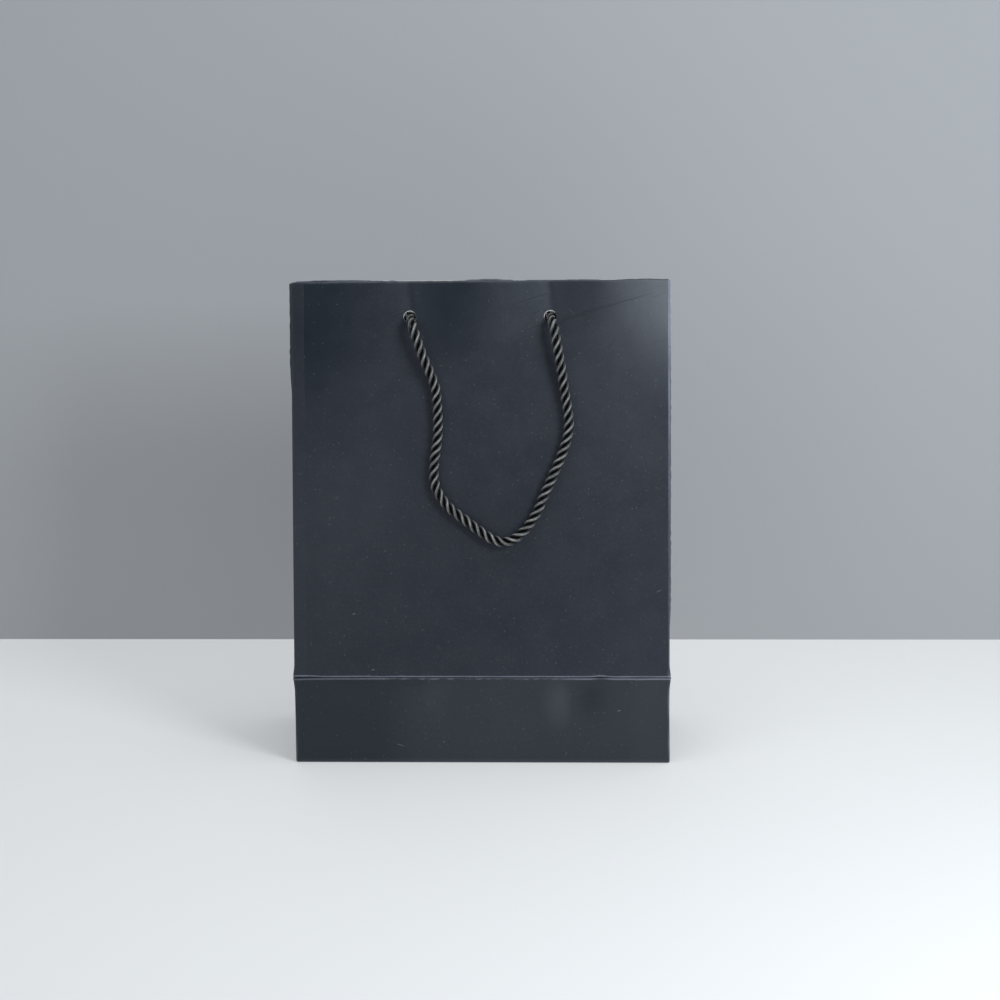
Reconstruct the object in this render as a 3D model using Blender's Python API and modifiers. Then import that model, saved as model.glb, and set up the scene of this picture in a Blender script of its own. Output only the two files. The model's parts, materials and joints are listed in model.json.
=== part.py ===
"""Paper carrier gift bag with knotted rope handles.

Metres, +Z up. The bag stands on its base with its front facing -Y, and its origin is at the middle of
the base. The walls lean in from the lower crease until the knots inside meet, and the side gussets
fold in between them.
"""
from math import acos, atan2, asin, cos, pi, radians, sin

import bpy
from mathutils import Vector

# Driving dimensions.
WIDTH = 0.190                # outside, along X
DEPTH = 0.080                # outside at the base, along Y
CREASE_HEIGHT = 0.045        # lower crease above the ground
WALL_LENGTH = 0.200          # lower crease to mouth, measured up the wall
MOUTH_GAP = 0.0175           # between the walls at the mouth
SHEET = 0.00045              # paper thickness
CARD = 0.0006                # hem card thickness
BOARD = 0.001                # base board thickness
CLEARANCE = 0.0003           # between touching pieces

HEM_DEPTH = 0.035            # paper turned in at the mouth
HEM_END_GAP = 0.018          # wall edge to the end of the hem and card
SEAM_WIDTH = 0.0065          # glued seam flap
SEAM_FOOT = 0.004            # the seam flap ends above the base board
FOLD_INSET = 0.0009          # wall middle plane to the gusset's corner fold
BOTTOM_OVERLAP = 0.008       # each long bottom flap past the centre line
BOTTOM_SIDE_REACH = 0.030    # how far the short bottom flaps reach in
BOARD_MARGIN = 0.0018        # wall face to board edge
BOARD_CORNER = 0.004

HOLE_DROP = 0.018            # mouth to the rope holes
HOLE_SPACING = 0.0705
HOLE_RADIUS = 0.0033
ROPE_RADIUS = 0.0025
KNOT_RADIUS = 0.0065
KNOT_THICKNESS = 0.0093
PIVOT_STANDOFF = 0.0047      # wall middle plane to the handle's swing axis
ROPE_POINT_SPACING = 0.009
TURN_STEPS = 20              # sides of a knot
MERGE_DISTANCE = 0.00005

EDGE_GAP = 0.0005            # a facet's edge to its own crease
FLANK_EXTRA_FOLD = radians(1.5)
FLANK_FOOT = 0.006           # the flanks start this far above the crease
FLANK_TIP_TRIM = 0.0024
CENTRE_TIP_TRIM = 0.014
CENTRE_BASE_TRIM = 0.0012
CENTRE_TIP_HALF_WIDTH = 0.001

# Planes and heights that follow from them.
WALL_Y = DEPTH / 2 - SHEET / 2
GUSSET_X = WIDTH / 2 - SHEET / 2
GUSSET_HALF = WALL_Y - FOLD_INSET
INNER_X = WIDTH / 2 - SHEET - CLEARANCE
INNER_Y = DEPTH / 2 - SHEET - CLEARANCE
HOLE_UP = WALL_LENGTH - HOLE_DROP
WALL_LEAN = asin((WALL_Y - MOUTH_GAP / 2) / WALL_LENGTH)

# Rope routes in mm: across the wall, below the hole, and out from the wall's middle plane.
FRONT_ROUTE = [
    (-35.25, 0.0, 4.7), (-33.4, 5.0, 6.3), (-31.5, 10.5, 7.2), (-28.7, 19.0, 6.6), (-24.8, 28.3, 5.4),
    (-22.3, 35.6, 4.2), (-21.5, 43.8, 3.7), (-21.1, 53.1, 3.5), (-21.6, 62.5, 3.5), (-22.8, 70.3, 3.4),
    (-23.3, 78.0, 3.4), (-22.6, 84.6, 3.5), (-19.8, 90.6, 3.6), (-14.9, 96.3, 3.6), (-7.8, 101.8, 3.5),
    (-1.5, 106.5, 3.4), (4.8, 110.9, 3.4), (11.2, 113.0, 3.5), (17.7, 110.9, 3.6), (22.9, 106.1, 3.6),
    (27.7, 99.2, 3.5), (31.9, 89.6, 3.4), (36.7, 78.9, 3.4), (40.6, 69.8, 3.5), (43.2, 62.4, 3.6),
    (44.4, 55.2, 3.6), (44.0, 47.6, 3.7), (42.7, 39.3, 4.0), (41.4, 30.4, 5.2), (39.9, 21.4, 6.3),
    (38.2, 11.5, 7.2), (37.1, 5.0, 6.3), (35.25, 0.0, 4.7),
]
BACK_ROUTE = [
    (-35.25, 0.0, 4.7), (-34.9, 5.0, 6.3), (-34.2, 11.0, 7.2), (-33.4, 21.0, 6.4), (-33.5, 31.5, 5.0),
    (-34.8, 42.0, 4.2), (-36.3, 53.5, 3.9), (-36.4, 64.0, 3.9), (-34.2, 74.5, 3.8), (-30.0, 84.5, 3.8),
    (-24.0, 93.6, 3.9), (-16.4, 101.2, 3.9), (-7.4, 106.2, 3.8), (2.4, 107.6, 3.8), (11.8, 104.8, 3.9),
    (20.0, 98.4, 3.9), (26.6, 89.6, 3.8), (31.6, 79.8, 3.8), (35.4, 69.6, 3.9), (37.6, 59.0, 3.9),
    (37.9, 48.4, 4.0), (36.6, 38.0, 4.5), (35.2, 27.6, 5.6), (34.6, 17.4, 6.8), (34.7, 9.0, 7.2),
    (34.9, 4.0, 6.1), (35.25, 0.0, 4.7),
]

COLOURS = {
    "paper": ((0.028, 0.032, 0.042), 0.42),
    "card": ((0.18, 0.17, 0.16), 0.80),
    "board": ((0.30, 0.28, 0.26), 0.85),
    "rope": ((0.008, 0.008, 0.009), 0.38),
}


def clear_scene():
    for item in list(bpy.data.objects):
        bpy.data.objects.remove(item, do_unlink=True)


def make_material(part_name, kind):
    colour, roughness = COLOURS[kind]
    material = bpy.data.materials.new(part_name + "_material")
    material.use_nodes = True
    shader = material.node_tree.nodes["Principled BSDF"]
    shader.inputs["Base Color"].default_value = (*colour, 1.0)
    shader.inputs["Roughness"].default_value = roughness
    shader.inputs["Metallic"].default_value = 0.0
    return material


def place(item, collection, parent, location, rotation=(0.0, 0.0, 0.0)):
    item.location = location
    item.rotation_euler = rotation
    item.parent = parent
    collection.objects.link(item)
    return item


def make_empty(name, collection, parent, location, rotation=(0.0, 0.0, 0.0)):
    return place(bpy.data.objects.new(name, None), collection, parent, location, rotation)


def add_outline(curve, points):
    spline = curve.splines.new("POLY")
    spline.points.add(len(points) - 1)
    for point, (x, y) in zip(spline.points, points):
        point.co = (x, y, 0.0, 1.0)
    spline.use_cyclic_u = True


def make_sheet(name, outline, kind="paper", thickness=SHEET, holes=()):
    """A flat piece in its own XY plane, centred on that plane."""
    curve = bpy.data.curves.new(name, "CURVE")
    curve.dimensions = "2D"
    curve.fill_mode = "BOTH"
    curve.extrude = thickness / 2
    add_outline(curve, outline)
    for hole in holes:
        add_outline(curve, hole)
    curve.materials.append(make_material(name, kind))
    return bpy.data.objects.new(name, curve)


def rectangle(low_x, high_x, low_y, high_y):
    return [(low_x, low_y), (high_x, low_y), (high_x, high_y), (low_x, high_y)]


def circle(centre_x, centre_y, radius, count=24):
    turns = [2 * pi * step / count for step in range(count)]
    return [(centre_x + radius * cos(turn), centre_y + radius * sin(turn)) for turn in turns]


def rounded_rectangle(half_x, half_y, radius, steps=6):
    points = []
    for corner, (side_x, side_y) in enumerate([(1, 1), (-1, 1), (-1, -1), (1, -1)]):
        for step in range(steps + 1):
            turn = (corner + step / steps) * pi / 2
            x = side_x * (half_x - radius) + radius * cos(turn)
            y = side_y * (half_y - radius) + radius * sin(turn)
            points.append((x, y))
    return points


def gusset_tilt(lean):
    """How far a gusset's centre leans in when the walls lean in by this much."""
    return acos((1 - GUSSET_HALF / WALL_LENGTH * sin(lean)) / cos(lean))


def flank_fold(lean):
    """Turn of a gusset flank about the wall's edge, from the wall's own plane."""
    tilt = gusset_tilt(lean)
    sideways = WALL_LENGTH * sin(tilt)
    inward = GUSSET_HALF - WALL_LENGTH * sin(lean)
    rise = WALL_LENGTH * (cos(tilt) - cos(lean))
    return pi / 2 + atan2(sideways, cos(lean) * inward - sin(lean) * rise)


def build_lower_walls(collection):
    """The vertical band between the ground and the lower crease, and its glued seam flap."""
    wall = rectangle(-WIDTH / 2, WIDTH / 2, 0.0, CREASE_HEIGHT - EDGE_GAP)
    gusset = rectangle(-INNER_Y, INNER_Y, 0.0, CREASE_HEIGHT - EDGE_GAP)
    sides = [
        ("front_lower_panel", wall, (0.0, -WALL_Y, 0.0), 0.0),
        ("back_lower_panel", wall, (0.0, WALL_Y, 0.0), pi),
        ("right_lower_gusset", gusset, (GUSSET_X, 0.0, 0.0), pi / 2),
        ("left_lower_gusset", gusset, (-GUSSET_X, 0.0, 0.0), -pi / 2),
    ]
    for name, outline, location, turn in sides:
        place(make_sheet(name, outline), collection, None, location, (pi / 2, 0.0, turn))
    seam = rectangle(-INNER_X, SEAM_WIDTH - INNER_X, SEAM_FOOT, CREASE_HEIGHT - 2 * EDGE_GAP)
    seam_y = -WALL_Y + SHEET + CLEARANCE
    seam_flap = make_sheet("lower_seam_flap", seam)
    place(seam_flap, collection, None, (0.0, seam_y, 0.0), (pi / 2, 0.0, 0.0))


def long_flap(side):
    """A bottom flap hinged on a long edge, mitred at 45 degrees at its ends."""
    reach = INNER_Y + BOTTOM_OVERLAP
    points = [
        (-INNER_X, side * INNER_Y),
        (INNER_X, side * INNER_Y),
        (INNER_X - reach, side * (INNER_Y - reach)),
        (reach - INNER_X, side * (INNER_Y - reach)),
    ]
    return points


def short_flap(side):
    """A bottom flap hinged on a short edge."""
    inner_half = INNER_Y - BOTTOM_SIDE_REACH
    points = [
        (side * INNER_X, -INNER_Y),
        (side * INNER_X, INNER_Y),
        (side * (INNER_X - BOTTOM_SIDE_REACH), inner_half),
        (side * (INNER_X - BOTTOM_SIDE_REACH), -inner_half),
    ]
    return points


def build_bottom(collection):
    layers = [
        ("front_bottom_flap", long_flap(-1), 0),
        ("back_bottom_flap", long_flap(1), 1),
        ("left_bottom_flap", short_flap(-1), 2),
        ("right_bottom_flap", short_flap(1), 2),
    ]
    pitch = SHEET + CLEARANCE
    for name, outline, layer in layers:
        height = SHEET / 2 + layer * pitch
        place(make_sheet(name, outline), collection, None, (0.0, 0.0, height))
    outline = rounded_rectangle(INNER_X - BOARD_MARGIN, INNER_Y - BOARD_MARGIN, BOARD_CORNER)
    board = make_sheet("base_board", outline, "board", BOARD)
    place(board, collection, None, (0.0, 0.0, 3 * pitch + BOARD / 2))


def build_knot(name, collection, wall, across, hem_face):
    """A knot inside the wall, turned in one piece with the rope that fills the hole."""
    knot_top = -hem_face - CLEARANCE
    knot_middle = knot_top - KNOT_THICKNESS / 2
    stub_top = PIVOT_STANDOFF - ROPE_RADIUS - CLEARANCE
    profile = [(0.0, stub_top), (ROPE_RADIUS, stub_top)]
    steps = 9
    first_turn = asin(ROPE_RADIUS / KNOT_RADIUS)
    for step in range(steps + 1):
        turn = first_turn + (pi - first_turn) * step / steps
        radius = KNOT_RADIUS * sin(turn)
        profile.append((radius, knot_middle + KNOT_THICKNESS / 2 * cos(turn)))
    profile[-1] = (0.0, knot_top - KNOT_THICKNESS)
    mesh = bpy.data.meshes.new(name)
    points = [(radius, 0.0, height) for radius, height in profile]
    edges = [(index, index + 1) for index in range(len(points) - 1)]
    mesh.from_pydata(points, edges, [])
    mesh.materials.append(make_material(name, "rope"))
    knot = bpy.data.objects.new(name, mesh)
    screw = knot.modifiers.new("Turn", "SCREW")
    screw.axis = "Z"
    screw.steps = TURN_STEPS
    screw.render_steps = TURN_STEPS
    screw.use_merge_vertices = True
    screw.merge_threshold = MERGE_DISTANCE
    screw.use_normal_calculate = True
    screw.use_smooth_shade = True
    place(knot, collection, wall, (across, HOLE_UP, 0.0))


def smooth_route(points, spacing):
    """Points at an even spacing along a Catmull-Rom curve through the given ones."""
    knots = [Vector(point) for point in points]
    knots = [2 * knots[0] - knots[1]] + knots + [2 * knots[-1] - knots[-2]]
    fine = []
    pieces = 16
    for index in range(1, len(knots) - 2):
        a, b, c, d = knots[index - 1:index + 3]
        for piece in range(pieces):
            t = piece / pieces
            linear = (c - a) * t
            square = (2 * a - 5 * b + 4 * c - d) * t ** 2
            cubic = (3 * b - a - 3 * c + d) * t ** 3
            fine.append(b + (linear + square + cubic) / 2)
    fine.append(knots[-2])
    lengths = [0.0]
    for first, second in zip(fine, fine[1:]):
        lengths.append(lengths[-1] + (second - first).length)
    count = round(lengths[-1] / spacing)
    route = []
    index = 0
    for step in range(count):
        target = lengths[-1] * step / count
        while lengths[index + 1] < target:
            index += 1
        part = (target - lengths[index]) / (lengths[index + 1] - lengths[index])
        route.append(fine[index].lerp(fine[index + 1], part))
    route.append(fine[-1])
    return route


def build_rope(name, collection, wall, route):
    """A handle's free loop, on an empty at the height of its holes, where it swings."""
    pivot = make_empty(name + "_pivot", collection, wall, (0.0, HOLE_UP, PIVOT_STANDOFF))
    curve = bpy.data.curves.new(name, "CURVE")
    curve.dimensions = "3D"
    curve.bevel_depth = ROPE_RADIUS
    curve.bevel_resolution = 3
    curve.use_fill_caps = True
    curve.materials.append(make_material(name, "rope"))
    points = [Vector((x, -down, out)) / 1000 - Vector((0.0, 0.0, PIVOT_STANDOFF)) for x, down, out in route]
    points = smooth_route(points, ROPE_POINT_SPACING)
    spline = curve.splines.new("POLY")
    spline.points.add(len(points) - 1)
    for target, point in zip(spline.points, points):
        target.co = (*point, 1.0)
    place(bpy.data.objects.new(name, curve), collection, pivot, (0.0, 0.0, 0.0))


def build_flank(name, collection, wall, side):
    """The gusset facet that folds in from a wall's edge."""
    fold = flank_fold(WALL_LEAN) + FLANK_EXTRA_FOLD
    location = (side * GUSSET_X, 0.0, -FOLD_INSET)
    hinge = make_empty(name + "_fold", collection, wall, location, (0.0, side * fold, 0.0))
    foot_width = GUSSET_HALF * FLANK_FOOT / WALL_LENGTH
    outline = [
        (side * EDGE_GAP, FLANK_FOOT),
        (side * foot_width, FLANK_FOOT),
        (side * (GUSSET_HALF - FLANK_TIP_TRIM), WALL_LENGTH - EDGE_GAP),
        (side * EDGE_GAP, WALL_LENGTH - EDGE_GAP),
    ]
    place(make_sheet(name, outline), collection, hinge, (0.0, 0.0, 0.0))


def build_wall(side_name, collection, facing, route):
    """An upper wall with its hem, card, knots, gusset flanks and handle."""
    turn = 0.0 if facing < 0 else pi
    tilt = (pi / 2 - WALL_LEAN, 0.0, turn)
    wall = make_empty(side_name + "_wall_hinge", collection, None, (0.0, facing * WALL_Y, CREASE_HEIGHT), tilt)
    hole_places = [-HOLE_SPACING / 2, HOLE_SPACING / 2]
    holes = [circle(across, HOLE_UP, HOLE_RADIUS) for across in hole_places]

    panel = rectangle(-WIDTH / 2, WIDTH / 2, EDGE_GAP, WALL_LENGTH)
    place(make_sheet(side_name + "_upper_panel", panel, holes=holes), collection, wall, (0, 0, 0))

    hem_half = WIDTH / 2 - HEM_END_GAP
    hem = rectangle(-hem_half, hem_half, WALL_LENGTH - HEM_DEPTH, WALL_LENGTH - EDGE_GAP)
    card_depth = SHEET / 2 + CLEARANCE + CARD / 2
    card = make_sheet(side_name + "_hem_card", hem, "card", CARD, holes)
    place(card, collection, wall, (0.0, 0.0, -card_depth))
    hem_depth = card_depth + CARD / 2 + CLEARANCE + SHEET / 2
    hem_piece = make_sheet(side_name + "_hem", hem, holes=holes)
    place(hem_piece, collection, wall, (0.0, 0.0, -hem_depth))

    for across in hole_places:
        # The back wall faces the other way, so its own left is the bag's right.
        knot_side = "left" if across * -facing < 0 else "right"
        build_knot(f"{side_name}_{knot_side}_knot", collection, wall, across, hem_depth + SHEET / 2)
    for side in (-1, 1):
        flank_side = "left" if side * -facing < 0 else "right"
        build_flank(f"{flank_side}_gusset_{side_name}_flank", collection, wall, side)
    build_rope(side_name + "_handle_rope", collection, wall, route)


def build_gusset_centre(side_name, collection, side):
    """The triangle of a gusset that stands on the lower crease and leans in."""
    tilt = gusset_tilt(WALL_LEAN)
    location = (side * GUSSET_X, 0.0, CREASE_HEIGHT)
    hinge = make_empty(side_name + "_gusset_hinge", collection, None, location, (pi / 2 - tilt, 0.0, side * pi / 2))
    base_half = GUSSET_HALF - CENTRE_BASE_TRIM
    tip = WALL_LENGTH - CENTRE_TIP_TRIM
    outline = [
        (-base_half, EDGE_GAP),
        (base_half, EDGE_GAP),
        (CENTRE_TIP_HALF_WIDTH, tip),
        (-CENTRE_TIP_HALF_WIDTH, tip),
    ]
    piece = make_sheet(side_name + "_gusset_centre", outline)
    place(piece, collection, hinge, (0.0, 0.0, 0.0))


def main():
    clear_scene()
    collection = bpy.data.collections.new("wine_gift_bag")
    bpy.context.scene.collection.children.link(collection)
    build_lower_walls(collection)
    build_bottom(collection)
    build_wall("front", collection, -1, FRONT_ROUTE)
    build_wall("back", collection, 1, BACK_ROUTE)
    build_gusset_centre("left", collection, -1)
    build_gusset_centre("right", collection, 1)


main()
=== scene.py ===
"""Looks for a coated paper carrier bag with knotted twisted rope handles.

Everything is in metres, in the frame's own axes: +Z up, the front facing -Y.
"""
import json
from math import cos, exp, pi, radians, sin, sqrt

import bpy
import numpy as np
from mathutils import Matrix, Vector, noise


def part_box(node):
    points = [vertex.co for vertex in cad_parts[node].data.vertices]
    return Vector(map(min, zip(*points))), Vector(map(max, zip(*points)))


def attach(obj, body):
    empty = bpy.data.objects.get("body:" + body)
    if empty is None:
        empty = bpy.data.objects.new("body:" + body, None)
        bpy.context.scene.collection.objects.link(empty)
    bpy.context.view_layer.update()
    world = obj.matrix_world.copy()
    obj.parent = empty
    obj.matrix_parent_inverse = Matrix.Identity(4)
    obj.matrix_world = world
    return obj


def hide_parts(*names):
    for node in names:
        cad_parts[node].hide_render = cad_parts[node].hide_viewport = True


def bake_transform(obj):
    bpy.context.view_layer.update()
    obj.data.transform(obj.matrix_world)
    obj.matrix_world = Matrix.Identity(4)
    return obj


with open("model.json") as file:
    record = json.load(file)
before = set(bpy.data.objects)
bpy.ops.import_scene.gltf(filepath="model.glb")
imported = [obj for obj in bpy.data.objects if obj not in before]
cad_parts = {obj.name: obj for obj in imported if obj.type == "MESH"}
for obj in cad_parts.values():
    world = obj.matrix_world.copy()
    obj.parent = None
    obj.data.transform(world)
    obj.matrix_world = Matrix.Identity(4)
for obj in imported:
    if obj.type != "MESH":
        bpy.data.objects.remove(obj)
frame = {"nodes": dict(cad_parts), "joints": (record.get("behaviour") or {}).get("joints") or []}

SCENE = bpy.context.scene
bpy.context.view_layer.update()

# ---- sizes, from the frame
JOINTS = {joint["name"]: joint for joint in frame["joints"]}
WALL_Y = -JOINTS["mouth_open"]["pos_m"][1]
CREASE_Z = JOINTS["mouth_open"]["pos_m"][2]
LEAN_SIN, LEAN_COS = JOINTS["left_front_unfold"]["axis"][1:]
GUSSET_X = JOINTS["right_gusset_tilt"]["pos_m"][0]
PANEL_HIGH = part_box("front_upper_panel")[1]
HALF_WIDTH = PANEL_HIGH[0]
HALF_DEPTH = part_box("back_lower_panel")[1][1]
WALL_LENGTH = (PANEL_HIGH[2] - CREASE_Z) / LEAN_COS
KNOT_LOW, KNOT_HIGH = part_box("front_right_knot")
HOLE_X = (KNOT_LOW[0] + KNOT_HIGH[0]) / 2

# ---- sizes of the paper and the cord
PAPER = 0.0003  # sheet thickness
CARD_THICKNESS = 0.0006
FOLD_RADIUS = 0.00045  # bend of the paper at the walls' edges
BASE_RADIUS = 0.0009  # bend at the base's edges
HOLE_RADIUS = 0.0031
HOLE_UP = WALL_LENGTH - 0.018  # a rope hole's middle, up the wall from the crease
HEM_DEPTH = 0.035
CARD_HALF = HALF_WIDTH - 0.018  # half the length of the card in the hem
MOUTH_TOP = WALL_LENGTH - 0.0009  # where the bend over the mouth starts
STRIP_EDGE = -HALF_WIDTH + 0.0063  # where the seam flap behind the front ends
FOLD_INSET = 0.0009  # wall's middle plane to the gusset's corner fold
GUSSET_HALF = WALL_Y - FOLD_INSET
TILT_COS = (1 - GUSSET_HALF / WALL_LENGTH * LEAN_SIN) / LEAN_COS  # the gussets' lean inwards at rest
TILT_SIN = sqrt(1 - TILT_COS ** 2)
ROPE_RADIUS = 0.0025  # to the strands' crests
ROPE_LAY = 0.0145  # one full turn of a strand
STRANDS = 3
KNOT_ROPE_RADIUS = 0.0023  # the cord is pulled tight in its knots

WALLS = (("front", -1), ("back", 1))
SIDES = (("left", -1), ("right", 1))
CELL = 0.0016  # mesh size of the walls
COARSE_CELL = 1.5 * CELL
ROPE_STEP = 0.0006
SHARP_ANGLE = radians(50)


# ---- small helpers
def smoothstep(low, high, value):
    """0 up to low, 1 from high on, with soft ends. The two may be given the other way round."""
    t = min(max((value - low) / (high - low), 0.0), 1.0)
    return t * t * (3 - 2 * t)


def bump(distance, width):
    """A smooth hump: 1 at its middle, about a third at its width."""
    return exp(-(distance / width) ** 2)


def wobble(x, y, z, scale):
    """Smooth noise between -1 and 1 with features 1/scale metres across."""
    return noise.noise(Vector((x, y, z)) * scale)


def on_wall(facing, x, up, out=0.0):
    """A point on the front (-1) or back (1) wall: x across, up from the crease, out of its face."""
    y = facing * (WALL_Y - up * LEAN_SIN + out * LEAN_COS)
    return Vector((x, y, CREASE_Z + up * LEAN_COS + out * LEAN_SIN))


def new_object(name, vertices, faces, materials, smooth=True):
    mesh = bpy.data.meshes.new(name)
    mesh.from_pydata([tuple(vertex) for vertex in vertices], [], faces)
    for material in materials:
        mesh.materials.append(material)
    mesh.validate()
    mesh.update()
    if smooth:
        mesh.shade_smooth()
    piece = bpy.data.objects.new(name, mesh)
    SCENE.collection.objects.link(piece)
    return piece


def grid_faces(rows, columns, closed=False):
    faces = []
    last = columns if closed else columns - 1
    for row in range(rows - 1):
        for column in range(last):
            right = (column + 1) % columns
            first = row * columns
            second = first + columns
            faces.append((first + column, first + right, second + right, second + column))
    return faces


def flip(faces, wanted):
    """The faces, wound the other way round if that is wanted."""
    return [tuple(reversed(face)) for face in faces] if wanted else faces


def add_attributes(piece, **lists):
    for name, values in lists.items():
        attribute = piece.data.attributes.new(name, "FLOAT", "POINT")
        attribute.data.foreach_set("value", np.array(values, dtype=np.float32))


def apply_modifiers(piece):
    depsgraph = bpy.context.evaluated_depsgraph_get()
    mesh = bpy.data.meshes.new_from_object(piece.evaluated_get(depsgraph))
    old = piece.data
    piece.modifiers.clear()
    piece.data = mesh
    bpy.data.meshes.remove(old)


def thicken(piece, thickness=PAPER, rim=2):
    """Give an open sheet its thickness: slot 1 on its inner face, and the rim's slot on its cut edge."""
    solid = piece.modifiers.new("Thickness", "SOLIDIFY")
    solid.thickness = thickness
    solid.offset = 0.0
    solid.material_offset = 1
    solid.material_offset_rim = rim
    apply_modifiers(piece)


def cut_round_hole(piece, centre, direction):
    bpy.ops.mesh.primitive_cylinder_add(vertices=40, radius=HOLE_RADIUS, depth=0.014, location=centre)
    cutter = bpy.context.object
    cutter.rotation_mode = "QUATERNION"
    cutter.rotation_quaternion = Vector(direction).to_track_quat("Z", "Y")
    cutter.data.materials.append(piece.data.materials[-1])
    bpy.context.view_layer.update()
    cut = piece.modifiers.new("Hole", "BOOLEAN")
    cut.operation = "DIFFERENCE"
    cut.object = cutter
    cut.solver = "EXACT"
    cut.material_mode = "TRANSFER"
    apply_modifiers(piece)
    bpy.data.objects.remove(cutter, do_unlink=True)


def mark_sharp(piece):
    piece.data.shade_smooth()
    piece.data.set_sharp_from_angle(angle=SHARP_ANGLE)


# ---- materials
class Nodes:
    """A short way to add and join shader nodes."""

    def __init__(self, name):
        self.material = bpy.data.materials.new(name)
        self.material.use_nodes = True
        self.tree = self.material.node_tree
        self.shader = self.tree.nodes["Principled BSDF"]

    def add(self, kind, settings=None, **inputs):
        node = self.tree.nodes.new("ShaderNode" + kind)
        for key, value in (settings or {}).items():
            setattr(node, key, value)
        for key, value in inputs.items():
            self.put(node, key.replace("_", " "), value)
        return node

    def shade(self, **inputs):
        for key, value in inputs.items():
            self.put(self.shader, key.replace("_", " "), value)

    def put(self, node, key, value):
        """Set or link a socket, by its name or, as in i6, by its number."""
        socket = node.inputs[int(key[1:])] if key[0] == "i" and key[1:].isdigit() else node.inputs[key]
        if hasattr(value, "is_output"):
            self.tree.links.new(value, socket)
        else:
            socket.default_value = value

    def maths(self, operation, first, second=0.0, clamp=False):
        node = self.add("Math", {"operation": operation, "use_clamp": clamp})
        self.put(node, "i0", first)
        self.put(node, "i1", second)
        return node.outputs[0]

    def times(self, first, second, clamp=False):
        return self.maths("MULTIPLY", first, second, clamp)

    def noise(self, vector, scale, detail=3.0, roughness=0.5):
        node = self.add("TexNoise", Vector=vector, Scale=scale, Detail=detail,
                        Roughness=roughness)
        return node.outputs["Fac"]

    def ramp(self, value, low, high, from_value=0.0, to_value=1.0):
        node = self.add("MapRange", {"interpolation_type": "SMOOTHSTEP"}, Value=value)
        self.put(node, "From Min", low)
        self.put(node, "From Max", high)
        self.put(node, "To Min", from_value)
        self.put(node, "To Max", to_value)
        return node.outputs[0]

    def mix(self, factor, first, second):
        """Two colours mixed: the node's sockets 6 and 7 are its colour ones."""
        node = self.add("Mix", {"data_type": "RGBA"})
        self.put(node, "i0", factor)
        self.put(node, "i6", first)
        self.put(node, "i7", second)
        return node.outputs[2]

    def mapping(self, vector, rotation=(0, 0, 0), scale=(1, 1, 1)):
        node = self.add("Mapping", Vector=vector, Rotation=rotation, Scale=scale)
        return node.outputs[0]

    def bump(self, height, strength, distance, normal=None):
        node = self.add("Bump", Height=height, Strength=strength, Distance=distance)
        if normal is not None:
            self.put(node, "Normal", normal)
        return node.outputs[0]


def colour(red, green, blue):
    return (red, green, blue, 1.0)


SLATE_DEEP = colour(0.0150, 0.0160, 0.0236)
SLATE = colour(0.0192, 0.0200, 0.0282)
SLATE_GRAIN = colour(0.034, 0.036, 0.043)
# Painted sheen and painted shade, mixed into the coating's body colour.
PAINTED_SHEEN_SLATE = colour(0.078, 0.079, 0.090)
PAINTED_SHADE_SLATE = colour(0.0010, 0.0038, 0.0088)
SCUFFED = colour(0.003, 0.004, 0.007)
# Painted shade along the pressed lines.
PRESSED_LINE_SHADE = colour(0.0015, 0.0024, 0.0050)
SCRATCHED = colour(0.22, 0.24, 0.26)
DUST = colour(0.36, 0.37, 0.38)
# Pale rubbing on folds and creases, partly a painted highlight where they catch the light.
WORN_AND_SHEEN = colour(0.27, 0.28, 0.34)
PRESSED_HALF_WIDTH = 0.00034
SCRATCH_HALF_WIDTH = 0.00021

# Marks on the front: x, z, degrees of slope, half length, strength.
PRESSED_LINES = [
    (0.0262, 0.2336, 16.6, 0.0150, 0.49), (0.0264, 0.2192, 19, 0.0058, 0.56),
    (0.0540, 0.2274, 16, 0.0140, 0.24), (-0.0101, 0.2359, 15, 0.0130, 0.42),
    (-0.0405, 0.2277, 20, 0.0060, 0.63), (0.0652, 0.2102, 57, 0.0110, 0.32),
    (0.0330, 0.2280, 17, 0.0120, 0.32), (0.0600, 0.2330, 15, 0.0120, 0.20),
]
SCRATCHES = [
    (-0.0415, 0.0095, -18, 0.0026, 0.45), (-0.0645, 0.0770, 20, 0.0010, 0.55),
    (-0.0549, 0.0490, 15, 0.0010, 0.70), (0.0895, 0.0885, 24, 0.0020, 0.35),
    (0.0695, 0.0278, 8, 0.0011, 0.75), (-0.0640, 0.0452, 12, 0.0012, 0.35),
    (0.0460, 0.2270, -44, 0.0036, 0.16),
]


def line_mark(n, where, half_width, x, z, slope, half_length, strength):
    """A factor that is high along one short straight line on the front."""
    depth = 0.06  # twice the wall's lean, which so hardly matters
    mark = n.add("Mapping", {"vector_type": "TEXTURE"}, Vector=where,
                 Location=(x, -HALF_DEPTH, z), Rotation=(0.0, radians(-slope), 0.0),
                 Scale=(half_length, depth, half_width))
    glow = n.add("TexGradient", {"gradient_type": "SPHERICAL"}, Vector=mark.outputs[0])
    return n.times(n.ramp(glow.outputs["Fac"], 0.0, 0.5), strength)


def slate_tones(n, where):
    """The body colour and its fine grain, with painted sheen (paler) and painted shade (darker) where the
    light falls unevenly, as a point attribute says.
    """
    broad = n.noise(where, 11.0, 2.0)
    base = n.mix(n.ramp(broad, 0.35, 0.7), SLATE_DEEP, SLATE)
    grain = n.ramp(n.noise(where, 900.0, 1.0), 0.50, 0.80, 0.0, 0.45)
    base = n.mix(grain, base, SLATE_GRAIN)
    lift = n.add("Attribute", {"attribute_name": "lift"}).outputs["Fac"]
    # Painted sheen where the attribute is above 0, painted shade where it is below 0.
    base = n.mix(lift, base, PAINTED_SHEEN_SLATE)
    return n.mix(n.ramp(lift, -1.0, 0.0), PAINTED_SHADE_SLATE, base)


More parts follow.
